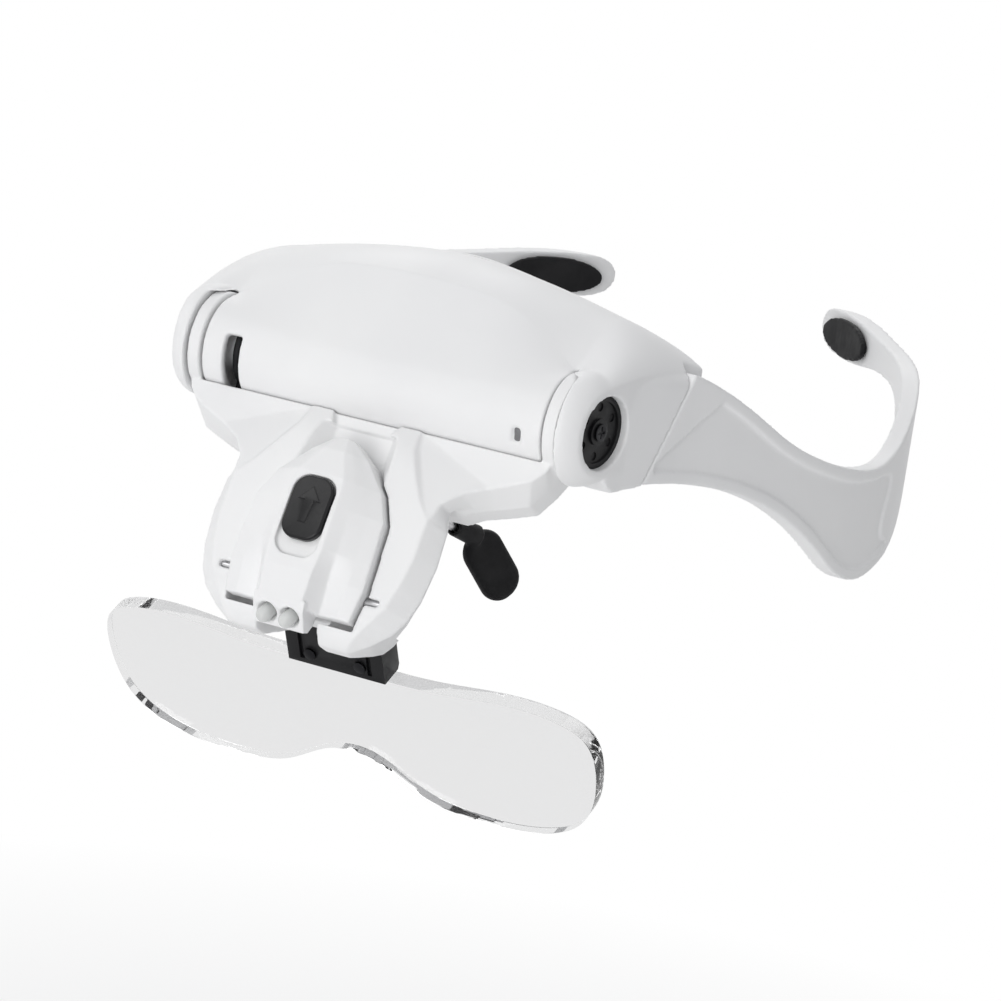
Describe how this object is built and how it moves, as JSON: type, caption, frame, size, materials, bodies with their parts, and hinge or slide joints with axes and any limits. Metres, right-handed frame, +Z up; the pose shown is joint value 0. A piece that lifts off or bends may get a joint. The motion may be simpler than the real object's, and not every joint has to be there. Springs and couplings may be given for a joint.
{
  "type": "head visor magnifier",
  "caption": "White head-worn magnifier: a hood with hooked temple arms carries a tilting visor with a lamp, a slide switch and a clear wide lens.",
  "frame": {"origin": "centre of the forehead pad's rear face, where the part rests on the wearer's forehead", "axes": "+X to the wearer's left, +Y back through the head along the arms, +Z up"},
  "size_m": [0.141, 0.1908, 0.108],
  "materials": {
    "white_plastic": "satin moulded white",
    "black_plastic": "fine satin black",
    "clear_lens": "clear polished acrylic",
    "clear_epoxy": "water clear, domed",
    "soft_foam": "foam under a fine black knit",
    "soft_rubber": "soft matt black",
    "lead_cover": "smooth black sleeve",
    "steel": "plain bright steel",
    "dark_steel": "blackened steel",
    "nylon": "natural nylon",
    "cell_wrap": "printed film without text",
    "circuit_board": "green solder mask"
  },
  "bodies": {
    "hood": {"hood_shell": "white_plastic", "hood_back_cover": "white_plastic", "battery_cells": "cell_wrap", "battery_contacts": "steel", "battery_tray": "black_plastic", "forehead_pad": "soft_foam", "left_pivot_disc": "black_plastic", "right_pivot_disc": "black_plastic", "disc_screws": "steel", "pivot_pins": "steel", "pivot_washers": "nylon", "left_arm": "white_plastic", "right_arm": "white_plastic", "left_arm_pad": "soft_rubber", "right_arm_pad": "soft_rubber"},
    "visor": {"visor_bracket": "white_plastic", "bracket_back_cover": "white_plastic", "bracket_screws": "steel", "lens_clip": "black_plastic", "clip_screws": "dark_steel", "lens": "clear_lens", "nose_bridge": "steel", "left_nose_pad": "soft_rubber", "right_nose_pad": "soft_rubber", "lamp_lead": "lead_cover", "lamp_pivot_pins": "steel"},
    "lamp": {"lamp_housing": "white_plastic", "lamp_back_cover": "white_plastic", "led_board": "circuit_board", "switch_body": "black_plastic", "lamp_leds": "clear_epoxy"},
    "switch": {"lamp_switch": "black_plastic"},
    "door": {"battery_door": "white_plastic"}
  },
  "joints": [
    {"name": "visor_tilt", "type": "hinge", "parent": "hood", "child": "visor", "pos_m": [0, -0.0338, -0.001], "axis": [-1, 0, 0], "range_deg": [-8, 75]},
    {"name": "lamp_tilt", "type": "hinge", "parent": "visor", "child": "lamp", "pos_m": [0, -0.05965, -0.03765], "axis": [1, 0, 0], "range_deg": [0, 28]},
    {"name": "switch_slide", "type": "slide", "parent": "lamp", "child": "switch", "axis": [0, -0.454, -0.891], "range_m": [0, 0.003]},
    {"name": "battery_door_swing", "type": "hinge", "parent": "hood", "child": "door", "pos_m": [0, -0.01, -0.0079], "axis": [1, 0, 0], "range_deg": [0, 78]}
  ]
}
